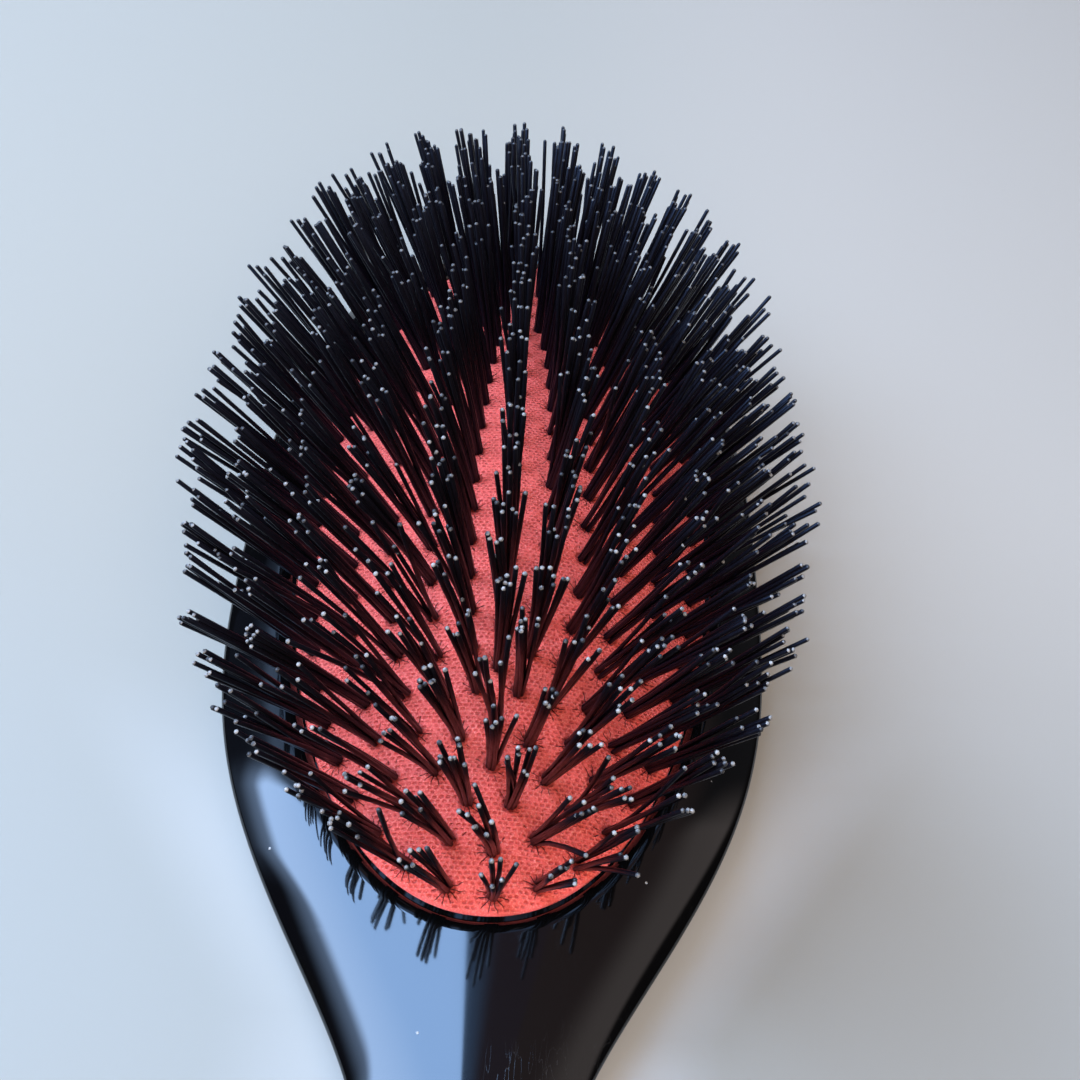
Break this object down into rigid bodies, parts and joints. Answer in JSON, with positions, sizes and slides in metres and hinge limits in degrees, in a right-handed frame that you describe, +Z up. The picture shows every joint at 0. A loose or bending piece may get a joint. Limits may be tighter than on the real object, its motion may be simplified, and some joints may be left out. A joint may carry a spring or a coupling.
{
  "type": "cushion hair brush",
  "caption": "Oval hair brush with a gloss black handle and head, and a domed red rubber cushion set with tufts of thick nylon bristles that sinks when pressed.",
  "frame": {"origin": "middle of the brush's outline, on the plane that its back rests on", "axes": "+Z up from the back through the bristles, +Y along the brush from the handle to the tip of the head, +X across it"},
  "size_m": [0.0711, 0.22, 0.0412],
  "materials": {
    "handle": "polished gloss black",
    "cushion": "coral red rubberised fabric, matte",
    "bristle": "black nylon, satin",
    "wire": "drawn wire"
  },
  "bodies": {
    "body": {"handle": "handle", "cushion": "cushion"},
    "zone1": {"tufts_r0_mid": "bristle", "anchors_r0_mid": "wire", "tufts_r1_mid": "bristle", "anchors_r1_mid": "wire"},
    "zone2": {"tufts_r0_end": "bristle", "anchors_r0_end": "wire", "tufts_r1_bend": "bristle", "anchors_r1_bend": "wire", "tufts_r2_mid": "bristle", "anchors_r2_mid": "wire"},
    "zone3": {"tufts_r1_end": "bristle", "anchors_r1_end": "wire", "tufts_r2_bend": "bristle", "anchors_r2_bend": "wire", "tufts_r3_mid": "bristle", "anchors_r3_mid": "wire"},
    "zone4": {"tufts_r2_end": "bristle", "anchors_r2_end": "wire", "tufts_r3_end": "bristle", "anchors_r3_end": "wire"},
    "zone5": {"tufts_r4_mid": "bristle", "anchors_r4_mid": "wire"},
    "zone6": {"tufts_r4_end": "bristle", "anchors_r4_end": "wire"},
    "zone7": {"tufts_r5_mid": "bristle", "anchors_r5_mid": "wire", "tufts_r5_end": "bristle", "anchors_r5_end": "wire"}
  },
  "joints": [
    {"name": "press", "type": "slide", "parent": "body", "child": "zone1", "axis": [0, 0, -1], "range_m": [0, 0.004], "stiffness_N_per_m": 800, "deforming": ["cushion"]},
    {"name": "press_zone2", "type": "slide", "parent": "body", "child": "zone2", "axis": [0, 0, -1], "range_m": [0, 0.00337]},
    {"name": "press_zone3", "type": "slide", "parent": "body", "child": "zone3", "axis": [0, 0, -1], "range_m": [0, 0.00265]},
    {"name": "press_zone4", "type": "slide", "parent": "body", "child": "zone4", "axis": [0, 0, -1], "range_m": [0, 0.00185]},
    {"name": "press_zone5", "type": "slide", "parent": "body", "child": "zone5", "axis": [0, 0, -1], "range_m": [0, 0.00165]},
    {"name": "press_zone6", "type": "slide", "parent": "body", "child": "zone6", "axis": [0, 0, -1], "range_m": [0, 0.00109]},
    {"name": "press_zone7", "type": "slide", "parent": "body", "child": "zone7", "axis": [0, 0, -1], "range_m": [0, 0.00045]}
  ],
  "couplings": [
    {"joint": "press_zone2", "follows": "press", "ratio": 0.84},
    {"joint": "press_zone3", "follows": "press", "ratio": 0.66},
    {"joint": "press_zone4", "follows": "press", "ratio": 0.46},
    {"joint": "press_zone5", "follows": "press", "ratio": 0.41},
    {"joint": "press_zone6", "follows": "press", "ratio": 0.27},
    {"joint": "press_zone7", "follows": "press", "ratio": 0.11}
  ]
}
